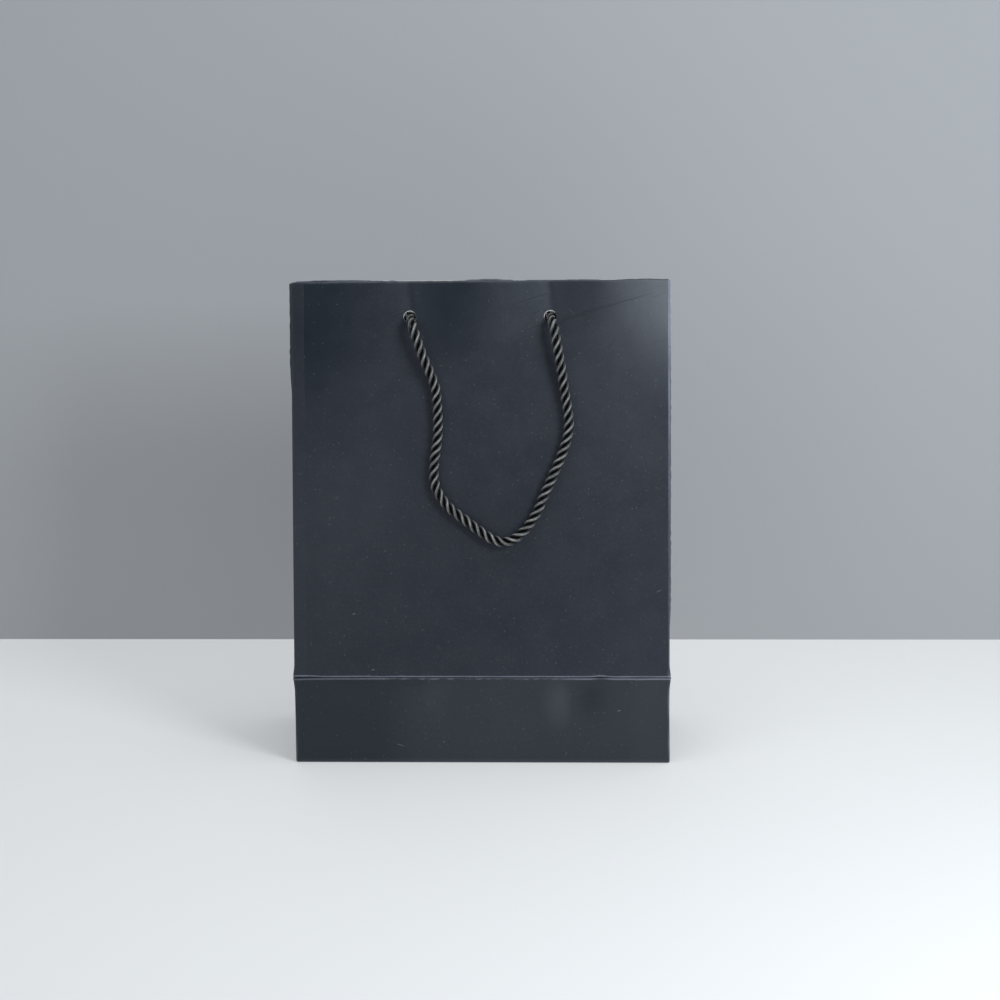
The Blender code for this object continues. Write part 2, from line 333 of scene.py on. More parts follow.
def slanted_scuffs(n, where):
    """A factor for thin slanted streaks in patches, at full strength only up the bag's right."""
    space = n.mapping(n.mapping(where, rotation=(0, radians(17), 0)), scale=(16, 60, 480))
    streaks = n.ramp(n.noise(space, 1.0, 4.0, 0.6), 0.56, 0.72)
    patches = n.ramp(n.noise(where, 26.0, 1.0), 0.46, 0.62)
    axes = n.add("SeparateXYZ", Vector=where)
    to_right = n.ramp(axes.outputs[0], 0.0, 0.07)
    upwards = n.ramp(axes.outputs[2], 0.09, 0.15)
    worn_side = n.times(to_right, upwards)
    share = n.maths("ADD", n.times(worn_side, 0.75), 0.25)
    return n.times(n.times(streaks, patches), share)


def add_dust(n, where, base):
    """Pale dust on a base colour: scattered specks, a finer powder and short slanted hairs."""
    slant = n.mapping(n.mapping(where, rotation=(0, radians(40), 0)), scale=(0.22, 1.0, 1.6))
    kinds = (  # space, cells per metre, speck size in cells, share of cells without one, strength
        (where, 105.0, 0.033, 0.78, 0.55),
        (where, 420.0, 0.150, 0.40, 0.20),
        (slant, 130.0, 0.050, 0.80, 0.26),
    )
    for space, cells, size, empty, strength in kinds:
        voronoi = n.add("TexVoronoi", Vector=space, Scale=cells, Randomness=1.0)
        near = n.ramp(voronoi.outputs["Distance"], 0.4 * size, size, 1.0, 0.0)
        chance = n.add("SeparateColor", Color=voronoi.outputs["Color"]).outputs[0]
        speck = n.times(near, n.ramp(chance, empty, 1.0))
        base = n.mix(n.times(speck, strength), base, DUST)
    return base


def coated_paper():
    """Satin-laminated slate paper: scuffs, dust, scratches, pressed lines darkened with painted shade,
    pale rubbed creases and edges partly painted as highlight, and painted sheen and shade.
    """
    n = Nodes("coated_paper")
    where = n.add("TexCoord").outputs["Object"]
    base = slate_tones(n, where)
    scuffs = slanted_scuffs(n, where)
    base = n.mix(n.times(scuffs, 0.60), base, SCUFFED)
    base = add_dust(n, where, base)
    pressed = 0.0
    for mark in PRESSED_LINES:
        pressed = n.maths("ADD", pressed, line_mark(n, where, PRESSED_HALF_WIDTH, *mark))
    # The pressed lines are also pressed into the surface's bump; their darker colour is painted shade in
    # the grooves.
    base = n.mix(pressed, base, PRESSED_LINE_SHADE)
    for mark in SCRATCHES:
        base = n.mix(line_mark(n, where, SCRATCH_HALF_WIDTH, *mark), base, SCRATCHED)
    # Paleness of creases and folded edges: rubbed paper, partly a painted highlight.
    wear = n.add("Attribute", {"attribute_name": "wear"}).outputs["Fac"]
    flecks = n.ramp(n.noise(where, 900.0, 2.0), 0.2, 0.6, 0.55, 1.0)
    base = n.mix(n.times(wear, flecks, clamp=True), base, WORN_AND_SHEEN)
    n.shade(Base_Color=base)

    rough = n.ramp(n.noise(where, 70.0, 4.0, 0.65), 0.3, 0.7, 0.37, 0.46)
    n.shade(Roughness=n.maths("ADD", rough, n.times(scuffs, 0.12)))
    n.shade(Specular_IOR_Level=0.44, Specular_Tint=colour(0.82, 0.95, 1.0))

    fine = n.bump(n.noise(where, 2600.0, 2.0), 0.10, 0.00004)
    ripples = n.bump(n.noise(where, 160.0, 3.0, 0.55), 0.22, 0.0004, fine)
    scuffed = n.bump(scuffs, 0.60, 0.00010, ripples)
    n.shade(Normal=n.bump(n.maths("SUBTRACT", 1.0, pressed), 0.70, 0.00022, scuffed))
    return n.material


def plain_paper(name, tone, fibre_scale=1400.0):
    """Uncoated paper or card, with fibres."""
    n = Nodes(name)
    where = n.add("TexCoord").outputs["Object"]
    skewed = n.mapping(where, rotation=(0.3, 0.5, 0.2), scale=(1.0, 0.35, 1.0))
    fibres = n.noise(skewed, fibre_scale, 4.0, 0.7)
    dark = colour(*[0.78 * level for level in tone])
    base = n.mix(n.ramp(fibres, 0.3, 0.65), dark, colour(*tone))
    n.shade(Base_Color=base, Roughness=0.9, Specular_IOR_Level=0.25, Normal=n.bump(fibres, 0.4, 0.00006))
    return n.material


def rope_fibre():
    """Silky black filaments that run along each strand, with a painted highlight on the strands' crests
    and painted shade in the valleys.
    """
    n = Nodes("rope_fibre")
    uv = n.add("UVMap", {"uv_map": "strand"}).outputs[0]
    around = n.add("SeparateXYZ", Vector=uv).outputs[0]
    rise = n.maths("COSINE", n.times(around, STRANDS * 2 * pi))
    # Painted shade: the valleys between the strands are near black.
    flank = n.ramp(rise, -0.60, 0.55)
    # Painted highlight along the strands' crests.
    painted_crest_highlight = n.ramp(rise, 0.32, 1.0)
    filaments = n.noise(n.mapping(uv, scale=(64.0, 3.0, 1.0)), 1.0, 3.0, 0.6)
    loose = n.noise(n.mapping(uv, scale=(26.0, 9.0, 1.0)), 1.0, 2.0)
    # The painted highlight's colour, streaked along the filaments.
    pale = n.mix(n.ramp(filaments, 0.30, 0.70), colour(0.050, 0.050, 0.050), colour(0.400, 0.400, 0.385))
    base = n.mix(flank, colour(0.0004, 0.0004, 0.0006), colour(0.040, 0.041, 0.044))
    painted_crest_highlight = n.times(painted_crest_highlight, n.ramp(loose, 0.35, 0.62, 0.50, 1.0))
    n.shade(Base_Color=n.mix(painted_crest_highlight, base, pale))
    n.shade(Roughness=n.ramp(loose, 0.3, 0.7, 0.30, 0.42))
    n.shade(Specular_IOR_Level=0.22, Normal=n.bump(filaments, 0.42, 0.00016))
    return n.material


COATED = coated_paper()
INSIDE = plain_paper("uncoated_paper", (0.62, 0.61, 0.58))
CUT_EDGE = plain_paper("cut_paper_edge", (0.55, 0.54, 0.52), 2600.0)
CARD = plain_paper("grey_card", (0.30, 0.29, 0.27))
BOARD = plain_paper("base_board_liner", (0.045, 0.047, 0.053), 900.0)
ROPE = rope_fibre()
PAPER_SLOTS = [COATED, INSIDE, CUT_EDGE]


# ---- camera and lights
CAMERA_DISTANCE = 1.2
CAMERA_TARGET = Vector((0.0097, -0.025, 0.1338))
CAMERA_AZIMUTH = radians(2.14)
CAMERA_PITCH = radians(12.42)
CAMERA_ROLL = radians(-0.55)
CAMERA_LENS = 85.8
BACKDROP_Y = 0.191


def make_camera():
    data = bpy.data.cameras.new("camera")
    data.lens = CAMERA_LENS
    data.sensor_width = 36.0
    camera = bpy.data.objects.new("camera", data)
    turn = Matrix.Rotation(CAMERA_AZIMUTH, 4, "Z") @ Matrix.Rotation(pi / 2 - CAMERA_PITCH, 4, "X")
    turn = turn @ Matrix.Rotation(CAMERA_ROLL, 4, "Z")
    back = turn.to_3x3() @ Vector((0.0, 0.0, 1.0))
    camera.matrix_world = Matrix.Translation(CAMERA_TARGET + back * CAMERA_DISTANCE) @ turn
    SCENE.collection.objects.link(camera)
    SCENE.camera = camera


def area_light(name, place, target, power, width, height, tint):
    data = bpy.data.lights.new(name, "AREA")
    data.shape = "RECTANGLE"
    data.size = width
    data.size_y = height
    data.energy = power
    data.color = tint
    light = bpy.data.objects.new(name, data)
    light.location = place
    light.rotation_mode = "QUATERNION"
    light.rotation_quaternion = (Vector(target) - Vector(place)).to_track_quat("-Z", "Y")
    SCENE.collection.objects.link(light)


def stage_shade(name, tone, roughness, glow, strength):
    """A matt tone with a faint glow, which stands for the light of a whole room."""
    n = Nodes(name)
    n.shade(Base_Color=colour(*tone), Roughness=roughness)
    n.shade(Emission_Color=colour(*glow), Emission_Strength=strength)
    return n


def make_stage():
    """A pale floor, and a grey backdrop that is see-through from behind."""
    floor_shade = stage_shade("stage_floor", (0.545, 0.546, 0.540), 0.75, (0.96, 0.99, 1.0), 0.22)
    wall_shade = stage_shade("stage_wall", (0.33, 0.34, 0.355), 0.9, (0.95, 0.97, 1.0), 0.055)
    behind = wall_shade.add("NewGeometry").outputs["Backfacing"]
    wall_shade.shade(Alpha=wall_shade.maths("SUBTRACT", 1.0, behind))
    far, back, high = 3.0, BACKDROP_Y, 2.4
    flat = [(-far, -far, 0), (far, -far, 0), (far, far, 0), (-far, far, 0)]
    upright = [(-far, back, 0), (far, back, 0), (far, back, high), (-far, back, high)]
    floor = new_object("stage_floor", flat, [(0, 1, 2, 3)], [floor_shade.material], smooth=False)
    wall = new_object("stage_wall", upright, [(0, 1, 2, 3)], [wall_shade.material], smooth=False)
    wall.visible_shadow = False


def make_lights():
    middle = (0.0, 0.0, 0.14)
    area_light("key", (0.45, -0.52, 0.47), middle, 3.9, 0.27, 0.27, (0.90, 0.95, 1.0))
    area_light("fill", (-0.9, -1.1, 0.6), middle, 3.1, 1.0, 0.9, (0.86, 0.93, 1.0))
    area_light("top", (0.1, -0.25, 1.5), (0.0, -0.1, 0.0), 12.0, 1.6, 1.0, (0.95, 0.975, 1.0))
    area_light("rear", (-0.3, 1.2, 0.9), middle, 3.4, 1.0, 0.8, (0.95, 0.98, 1.0))
    world = bpy.data.worlds.new("studio")
    world.use_nodes = True
    background = world.node_tree.nodes["Background"].inputs
    background["Color"].default_value = colour(0.80, 0.87, 0.95)
    background["Strength"].default_value = 0.18
    SCENE.world = world
    SCENE.view_settings.view_transform = "Standard"


# ---- rope handles
# Routes in mm: across the wall, below the hole, and out from the wall's middle plane.
FRONT_ROUTE = [
    (-33.4, 5.0, 6.3), (-31.5, 10.5, 7.2), (-28.7, 19.0, 6.6), (-24.8, 28.3, 5.4), (-22.3, 35.6, 4.2),
    (-21.5, 43.8, 3.7), (-21.1, 53.1, 3.5), (-21.6, 62.5, 3.5), (-22.8, 70.3, 3.4), (-23.3, 78.0, 3.4),
    (-22.6, 84.6, 3.5), (-19.8, 90.6, 3.6), (-14.9, 96.3, 3.6), (-7.8, 101.8, 3.5), (-1.5, 106.5, 3.4),
    (4.8, 110.9, 3.4), (11.2, 113.0, 3.5), (17.7, 110.9, 3.6), (22.9, 106.1, 3.6), (27.7, 99.2, 3.5),
    (31.9, 89.6, 3.4), (36.7, 78.9, 3.4), (40.6, 69.8, 3.5), (43.2, 62.4, 3.6), (44.4, 55.2, 3.6),
    (44.0, 47.6, 3.7), (42.7, 39.3, 4.0), (41.4, 30.4, 5.2), (39.9, 21.4, 6.3), (38.2, 11.5, 7.2),
    (37.1, 5.0, 6.3),
]
BACK_ROUTE = [
    (-34.9, 5.0, 6.3), (-34.2, 11.0, 7.2), (-33.4, 21.0, 6.4), (-33.5, 31.5, 5.0), (-34.8, 42.0, 4.2),
    (-36.3, 53.5, 3.9), (-36.4, 64.0, 3.9), (-34.2, 74.5, 3.8), (-30.0, 84.5, 3.8), (-24.0, 93.6, 3.9),
    (-16.4, 101.2, 3.9), (-7.4, 106.2, 3.8), (2.4, 107.6, 3.8), (11.8, 104.8, 3.9), (20.0, 98.4, 3.9),
    (26.6, 89.6, 3.8), (31.6, 79.8, 3.8), (35.4, 69.6, 3.9), (37.6, 59.0, 3.9), (37.9, 48.4, 4.0),
    (36.6, 38.0, 4.5), (35.2, 27.6, 5.6), (34.6, 17.4, 6.8), (34.7, 9.0, 7.2), (34.9, 4.0, 6.1),
]
KNOT_OUT = -0.0069  # a knot's middle, inside the wall


def smooth_points(points, steps=24):
    """A Catmull-Rom curve through the given points, in many short steps."""
    knots = [Vector(point) for point in points]
    knots = [2 * knots[0] - knots[1]] + knots + [2 * knots[-1] - knots[-2]]
    fine = []
    for index in range(1, len(knots) - 2):
        a, b, c, d = knots[index - 1:index + 3]
        for piece in range(steps):
            t = piece / steps
            linear = (c - a) * t
            square = (2 * a - 5 * b + 4 * c - d) * t ** 2
            cubic = (3 * b - a - 3 * c + d) * t ** 3
            fine.append(b + (linear + square + cubic) / 2)
    fine.append(knots[-2])
    return fine


def even_points(points, spacing):
    """Points at an even spacing along a smooth curve through the given ones, and its length."""
    fine = np.array([tuple(point) for point in smooth_points(points)])
    run = np.concatenate([[0], np.cumsum(np.linalg.norm(np.diff(fine, axis=0), axis=1))])
    count = int(round(run[-1] / spacing)) + 1
    at = np.linspace(0, run[-1], count)
    path = np.stack([np.interp(at, run, fine[:, axis]) for axis in range(3)], axis=1)
    return [Vector(point) for point in path], run[-1]


def strand_outline(count=42):
    """The outline of touching strands round the cord's middle: (turn, share of its radius)."""
    offset = 0.555  # a strand's middle
    strand = 1.0 - offset  # a strand's radius
    pitch = 2 * pi / STRANDS
    outline = []
    for index in range(count):
        turn = 2 * pi * index / count
        off_crest = (turn + pitch / 2) % pitch - pitch / 2
        reach = offset * cos(off_crest) + sqrt(max(strand ** 2 - (offset * sin(off_crest)) ** 2, 0.0))
        outline.append((turn, reach))
    return outline


def frames_along(path):
    """For each point: how far along it is, and two axes across the path that don't twist."""
    tangents = []
    for index in range(len(path)):
        ahead = path[min(index + 1, len(path) - 1)]
        behind = path[max(index - 1, 0)]
        tangents.append((ahead - behind).normalized())
    side = tangents[0].orthogonal().normalized()
    run = 0.0
    frames = []
    for index, centre in enumerate(path):
        if index:
            run += (centre - path[index - 1]).length
            turn = tangents[index - 1].rotation_difference(tangents[index])
            side = turn @ side
            side = (side - tangents[index] * side.dot(tangents[index])).normalized()
        frames.append((run, side, tangents[index].cross(side)))
    return frames


def sweep_rope(name, path, radius, lay, taper=None):
    """A twisted rope along a path, with its strands turning right-handed and its ends closed."""
    outline = strand_outline()
    columns = len(outline)
    vertices = []
    along = []
    for centre, (run, side, other) in zip(path, frames_along(path)):
        spin = 2 * pi * run / lay
        swell = 1.0 if taper is None else taper(run)
        uneven = 1.0 + 0.02 * wobble(centre.x, centre.y, centre.z, 180.0)
        for turn, reach in outline:
            angle = turn + spin
            width = radius * swell * uneven * reach
            vertices.append(centre + side * (width * cos(angle)) + other * (width * sin(angle)))
        along.append(run)
    faces = grid_faces(len(path), columns, closed=True)
    faces.append(tuple(reversed(range(columns))))
    faces.append(tuple(range((len(path) - 1) * columns, len(path) * columns)))
    piece = new_object(name, vertices, faces, [ROPE])
    uv = piece.data.uv_layers.new(name="strand")
    for loop in piece.data.loops:
        row, column = divmod(loop.vertex_index, columns)
        uv.data[loop.index].uv = (column / columns, along[row] * 100)
    return piece


def handle_path(facing, route, sideways):
    """The whole cord: out of the left knot, through the hole, round the loop and back in."""
    edge = HOLE_X * 1000
    entry = [(-edge, 0.0, -4.6), (-edge + 0.3, 0.5, -1.6), (-edge + 0.6, 1.9, 2.2)]
    leave = [(edge + 0.6, 1.9, 2.2), (edge + 0.3, 0.5, -1.6), (edge, 0.0, -4.6)]
    points = []
    for x, down, out in entry + route + leave:
        points.append(on_wall(facing, sideways * x / 1000, HOLE_UP - down / 1000, out / 1000))
    return even_points(points, ROPE_STEP)


def squeezed_in_holes(length):
    """The rope is thinner where the holes pinch it."""
    def width(run):
        nearer = min(run, length - run)
        return 1.0 - 0.16 * (1 - smoothstep(0.005, 0.012, nearer))
    return width


def knot_path(facing, x):
    """A small overhand knot, flattened against the wall's inside."""
    size = 0.00128
    thickness = 0.0019
    steps = 120
    points = []
    for step in range(steps + 1):
        t = 2 * pi * step / steps
        across = (sin(t) + 2 * sin(2 * t)) * size
        rise = (cos(t) - 2 * cos(2 * t)) * size
        points.append(on_wall(facing, x + across, HOLE_UP + rise, KNOT_OUT - sin(3 * t) * thickness))
    return points


def tail_path(facing, x):
    """The short end of cord that hangs below a knot."""
    points = [(x, HOLE_UP - 0.002, KNOT_OUT), (x + 0.0012, HOLE_UP - 0.007, KNOT_OUT - 0.0008),
              (x + 0.0018, HOLE_UP - 0.0135, KNOT_OUT - 0.0004)]
    return even_points([on_wall(facing, *point) for point in points], ROPE_STEP)


def frayed_end(length):
    """A tail opens out towards its cut end."""
    def width(run):
        return 1.0 + 0.22 * smoothstep(0.6 * length, length, run)
    return width


def make_knot(wall_name, facing, side_name, side):
    """One knot and its tail, which stay on the wall's inside while the handle swings."""
    x = side * HOLE_X
    label = f"{wall_name}_{side_name}"
    knot = sweep_rope(label + "_rope_knot", knot_path(facing, x), KNOT_ROPE_RADIUS, 0.011)
    path, length = tail_path(facing, x)
    tail = sweep_rope(label + "_rope_tail", path, KNOT_ROPE_RADIUS, 0.012, frayed_end(length))
    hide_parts(label + "_knot")
    for piece in (knot, tail):
        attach(piece, wall_name + "_wall")
    return [knot, tail]


def make_handle(wall_name, facing, route, sideways):
    path, length = handle_path(facing, route, sideways)
    rope = sweep_rope(wall_name + "_rope_handle", path, ROPE_RADIUS, ROPE_LAY, squeezed_in_holes(length))
    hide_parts(wall_name + "_handle_rope")
    knots = []
    for side_name, side in SIDES:
        knots += make_knot(wall_name, facing, side_name, side)
    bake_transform(rope)


# ---- paper
def edge_slack(x, up):
    """How strongly a wall may bow: free in the middle, held at its folded edges and its crease."""
    sides = 1 - abs(x / HALF_WIDTH) ** 6
    return max(sides, 0.0) * smoothstep(0.0, 0.03, up)


def groove(x, up, hole_x, left_reach, right_reach):
    """The pressed-in fold of paper that runs from a hole up to the mouth."""
    off = x - hole_x - 0.0022 * smoothstep(WALL_LENGTH, HOLE_UP, up)
    reach = left_reach if off < 0 else right_reach
    soft = sqrt(off * off + 0.0008 ** 2) - 0.0008
    above = smoothstep(HOLE_UP - 0.016, HOLE_UP + 0.006, up)
    return -above * exp(-soft / reach)


def corner_bend(x, up):
    """How far the mouth's right corner is bent back."""
    across = max((x - 0.056) / (HALF_WIDTH - 0.056), 0.0)
    return -0.0033 * across ** 2 * smoothstep(0.130, 0.200, up)


def front_relief(x, up):
    """How far the front wall's paper stands out from its flat place: dents, folds and the seam's ridge."""
    relief = -0.0004 + 0.0009 * wobble(x, 0.3, up, 13.0) + 0.0003 * wobble(x, 1.7, up, 38.0)
    relief += 0.0007 * bump(x - 0.070, 0.030) * bump(up - 0.085, 0.05)
    relief *= edge_slack(x, up)
    relief += 0.0022 * groove(x, up, -HOLE_X, 0.010, 0.018)
    relief += 0.0022 * groove(x, up, HOLE_X, 0.015, 0.009)
    relief += 0.0013 * bump(x, 0.019) * smoothstep(0.140, 0.190, up)
    relief += 0.0007 * bump(x - 0.062, 0.016) * smoothstep(0.150, 0.195, up)
    relief += corner_bend(x, up)
    strip_fade = smoothstep(0.095, 0.140, up)
    strip = 1 - smoothstep(STRIP_EDGE - 0.0002, STRIP_EDGE + 0.0002, x)
    relief += 0.00007 * strip * strip_fade
    return relief


def back_relief(x, up):
    relief = -0.0004 + 0.0008 * wobble(x, 5.3, up, 12.0) + 0.0003 * wobble(x, 7.7, up, 35.0)
    relief *= edge_slack(x, up)
    relief += 0.0008 * groove(x, up, -HOLE_X, 0.012, 0.010)
    relief += 0.0009 * groove(x, up, HOLE_X, 0.009, 0.013)
    return relief


def mouth_edge(facing, x):
    """Small unevenness of the folded mouth edge."""
    ragged = 0.00030 * wobble(x, 2.0 + facing, 0.0, 60.0)
    ragged += 0.00022 * wobble(x, 4.0 + facing, 0.0, 300.0)
    if facing > 0:
        ragged += -0.0023 + 0.0013 * bump(x - 0.003, 0.016) + 0.0009 * bump(x + 0.065, 0.028)
        ragged -= 0.0002 * smoothstep(0.05, 0.09, x)
    else:
        ragged += 0.0007 * smoothstep(0.060, 0.088, x) + 0.0005 * bump(x - 0.044, 0.016)
        ragged -= 0.0005 * (1 - smoothstep(-0.095, -0.060, x))
    return ragged


def columns_across():
    """x places across a wall: close together where the seam strip ends."""
    flat = HALF_WIDTH - FOLD_RADIUS - PAPER / 2
    places = list(np.linspace(-flat, flat, int(2 * flat / CELL)))
    places = [place for place in places if abs(place - STRIP_EDGE) > 0.0009]
    places += [-flat + 0.0004, flat - 0.0004]
    places += [STRIP_EDGE + step for step in (-0.0005, -0.00025, 0.0, 0.00025, 0.0005)]
    return sorted(places)


def rows_up():
    """Heights up a wall: close together beside the crease and at the mouth."""
    near = [0.0002, 0.0004, 0.0006, 0.0008, 0.0010, 0.0012, 0.0014, 0.0018, 0.0024, 0.0034, 0.0048]
    even = list(np.linspace(0.0064, MOUTH_TOP - 0.0014, int(WALL_LENGTH / CELL)))
    return near + even + [MOUTH_TOP - 0.0005, MOUTH_TOP]


def crease_profile(x, distance):
    """Height of the pressed score beside its middle line, and how pale its lip is: rubbed, and partly a
    painted highlight where the lip catches the light.
    """
    spread = 0.00062 + 0.00032 * smoothstep(-0.074, -0.094, x) + 0.00012 * wobble(x, 6.0, 0.0, 70.0)
    lip = bump(distance - spread, 0.00026)
    score = bump(distance, 0.00045)
    return 0.00022 * lip - 0.00025 * score, lip


def crumple(x):
    """The small kink in the crease, right of its middle."""
    return 0.00045 * bump(x - 0.060, 0.0035) + 0.00012 * wobble(x, 8.0, 0.0, 110.0)


def hem_depth(x):
    """How far behind the wall's middle the turned-in paper lies: it goes round the card."""
    card = 1 - smoothstep(CARD_HALF - 0.001, CARD_HALF + 0.003, abs(x))
    return 0.0005 + 0.00115 * card


# Upright stretches of the front wall, painted sheen above 0 and painted shade below: strength, x, width,
# and the heights up the wall between which each comes in.
PAINTED_WALL_SHEEN_SHADE = [
    (-0.70, -0.016, 0.019, 0.140, 0.186), (-0.28, 0.046, 0.012, 0.170, 0.190),
    (0.12, 0.080, 0.030, 0.05, 0.13), (0.74, 0.100, 0.026, 0.140, 0.199),
]


def painted_wall_sheen_shade(facing, x, up):
    """Stretches of painted sheen (up to 1) and painted shade (down to -1) on the coating.

    The side seam's flap shows through the front as a flatter strip, with painted sheen that is paler just
    below the mouth.
    """
    if facing > 0:
        return 0.0
    # Painted shade, darker towards the top left, away from the key light.
    shade = -0.88 * smoothstep(0.105, 0.180, up) * (1 - smoothstep(-0.095, -0.030, x))
    if x <= STRIP_EDGE + 0.0001:
        return 0.58 * shade + 0.04 + 0.10 * smoothstep(0.185, 0.198, up)
    # A soft patch of painted sheen, then the listed stretches of painted sheen and shade.
    tone = shade + 0.06 * bump(x + 0.060, 0.030) * bump(up - 0.090, 0.035)
    for strength, place, width, low, high in PAINTED_WALL_SHEEN_SHADE:
        tone += strength * bump(x - place, width) * smoothstep(low, high, up)
    return tone


def coat(piece, chosen):
    """Give the coated finish, which is slot 0, to the faces whose middles are chosen."""
    for face in piece.data.polygons:
        if chosen(face.center):
            face.material_index = 0


def wall_wear(facing, across, x, up, line_wear):
    """Paleness of the crease, the folded side edges and the mouth's edge: rubbed, and partly a painted
    highlight.
    """
    breaks = 0.75 + 0.25 * smoothstep(-0.25, 0.15, wobble(x, up * 30, 3.0, 90.0))
    side = smoothstep(HALF_WIDTH - 0.0009, HALF_WIDTH - 0.0004, abs(across))
    # The front wall's right edge is far paler than its left: a painted highlight along the lit fold, with
    # rubbing; the back wall is mirrored.
    side *= 0.80 if across * facing < 0 else 0.08
    side *= 0.70 + 0.5 * wobble(x, up, 9.0, 60.0)
    side *= 0.25 + 0.75 * smoothstep(0.06, 0.16, up)
    rim = 0.04 * smoothstep(WALL_LENGTH - 0.0016, WALL_LENGTH - 0.0006, up)
    return min(max(0.62 * line_wear * breaks + side + rim, 0.0), 1.0)


EDGE_STEPS = 5  # steps round a wall's side edge


def wall_rows(facing, relief, places):
    """The upright sheet of a wall with its rounded side edges: points, paleness (rubbed, partly a painted
    highlight) and painted sheen and shade, row by row.
    """
    vertices = []
    wear = []
    lift = []
    for up in rows_up():
        widen = 0.0006 * (1 - smoothstep(0.0, 0.007, up))
        top = smoothstep(WALL_LENGTH - 0.03, WALL_LENGTH, up)
        for step in range(-EDGE_STEPS, len(places) + EDGE_STEPS):
            x = places[min(max(step, 0), len(places) - 1)]
            beyond = max(-step, step - len(places) + 1, 0)
            turn = 0.47 * pi * beyond / EDGE_STEPS
            sign = -1 if step < 0 else 1
            line_out, line_wear = crease_profile(x * facing * -1, up - crumple(x))
            out = relief(x, up) + line_out - FOLD_RADIUS * (1 - cos(turn))
            across = x * (1 + widen / HALF_WIDTH) + sign * FOLD_RADIUS * sin(turn)
            vertices.append(on_wall(facing, across, up + top * mouth_edge(facing, x), out))
            wear.append(wall_wear(facing, across, x, up, line_wear))
            lift.append(painted_wall_sheen_shade(facing, x, up))
    return vertices, wear, lift


def hem_row(facing, relief, places, turn, down):
    """One row of the turned-in paper: turn goes from 0 to pi round the mouth's bend, then down."""
    points = []
    up = MOUTH_TOP - down
    for x in places:
        top = smoothstep(WALL_LENGTH - 0.03, WALL_LENGTH, up) * mouth_edge(facing, x)
        out = relief(x, up) - hem_depth(x) / 2 * (1 - cos(turn))
        points.append(on_wall(facing, x, up + top + 0.0008 * sin(turn), out))
    return points


def make_wall_paper(wall_name, facing, relief):
    """One sheet: an upper wall with rounded side edges, turned in at the mouth as its hem."""
    places = columns_across()
    vertices, wear, lift = wall_rows(facing, relief, places)
    rows = len(rows_up())
    columns = len(places) + 2 * EDGE_STEPS
    faces = grid_faces(rows, columns)
    before = [(rows - 1) * columns + EDGE_STEPS + column for column in range(len(places))]
    hem_turns = [(turn * pi / 6, 0.0) for turn in range(1, 7)]
    hem_turns += [(pi, down) for down in np.linspace(0.002, HEM_DEPTH, int(HEM_DEPTH / COARSE_CELL))]
    for turn, down in hem_turns:
        current = list(range(len(vertices), len(vertices) + len(places)))
        vertices += hem_row(facing, relief, places, turn, down)
        # The back wall's bend over the mouth is paler: a painted highlight where it catches the top light,
        # with a little rubbing on both walls.
        wear += [(0.26 if facing > 0 else 0.04) * sin(turn) + 0.03] * len(places)
        lift += [0.0] * len(places)
        for column in range(len(places) - 1):
            faces.append((before[column], before[column + 1], current[column + 1], current[column]))
        before = current
    faces = flip(faces, facing > 0)
    piece = new_object(wall_name + "_wall_paper", vertices, faces, PAPER_SLOTS)
    add_attributes(piece, wear=wear, lift=lift)
    thicken(piece, rim=0)
    coat(piece, lambda place: abs(place.x) > HALF_WIDTH - 0.003 and place.z > PANEL_HIGH[2] - 0.004)
    pierce(piece, facing)
    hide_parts(wall_name + "_upper_panel", wall_name + "_hem")
    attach(piece, wall_name + "_wall")


def pierce(piece, facing):
    """Cut both rope holes through a wall's paper or card."""
    normal = on_wall(facing, 0, 0, 1) - on_wall(facing, 0, 0, 0)
    for side in (-1, 1):
        cut_round_hole(piece, on_wall(facing, side * HOLE_X, HOLE_UP, 0.0), normal)
    mark_sharp(piece)


def make_hole_lips(wall_name, facing, relief):
    """The pale burr of punched paper around each rope hole, thickest at its upper left."""
    rings = 48
    sides = 8
    for side_name, side in SIDES:
        vertices = []
        for ring in range(rings):
            turn = 2 * pi * ring / rings
            thick = 0.00003 + 0.00015 * smoothstep(0.0, 0.9, cos(turn - radians(118)))
            for step in range(sides):
                around = 2 * pi * step / sides
                reach = HOLE_RADIUS + thick * (cos(around) - 0.3)
                x = side * HOLE_X + reach * cos(turn)
                up = HOLE_UP + reach * sin(turn)
                out = relief(x, up) + PAPER / 2 + thick * sin(around)
                vertices.append(on_wall(facing, x, up, out))
        faces = grid_faces(rings, sides, closed=True)
        last = (rings - 1) * sides
        for step in range(sides):
            after = (step + 1) % sides
            faces.append((last + step, last + after, after, step))
        faces = flip(faces, facing > 0)
        lip = new_object(f"{wall_name}_{side_name}_hole_lip", vertices, faces, [CUT_EDGE])
        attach(lip, wall_name + "_wall")


def make_card(wall_name, facing, relief):
    """The card strip inside the hem, which the rope's holes go through."""
    places = list(np.linspace(-CARD_HALF, CARD_HALF, int(2 * CARD_HALF / COARSE_CELL)))
    low = WALL_LENGTH - HEM_DEPTH + 0.001
    rows = list(np.linspace(low, WALL_LENGTH - 0.0016, int(HEM_DEPTH / COARSE_CELL)))
    behind = 0.000825  # the wall's middle plane to the card's
    vertices = [on_wall(facing, x, up, relief(x, up) - behind) for up in rows for x in places]
    faces = flip(grid_faces(len(rows), len(places)), facing > 0)
    piece = new_object(wall_name + "_card_strip", vertices, faces, [CARD, CARD, CUT_EDGE])
    thicken(piece, CARD_THICKNESS)
    pierce(piece, facing)
    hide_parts(wall_name + "_hem_card")
    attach(piece, wall_name + "_wall")


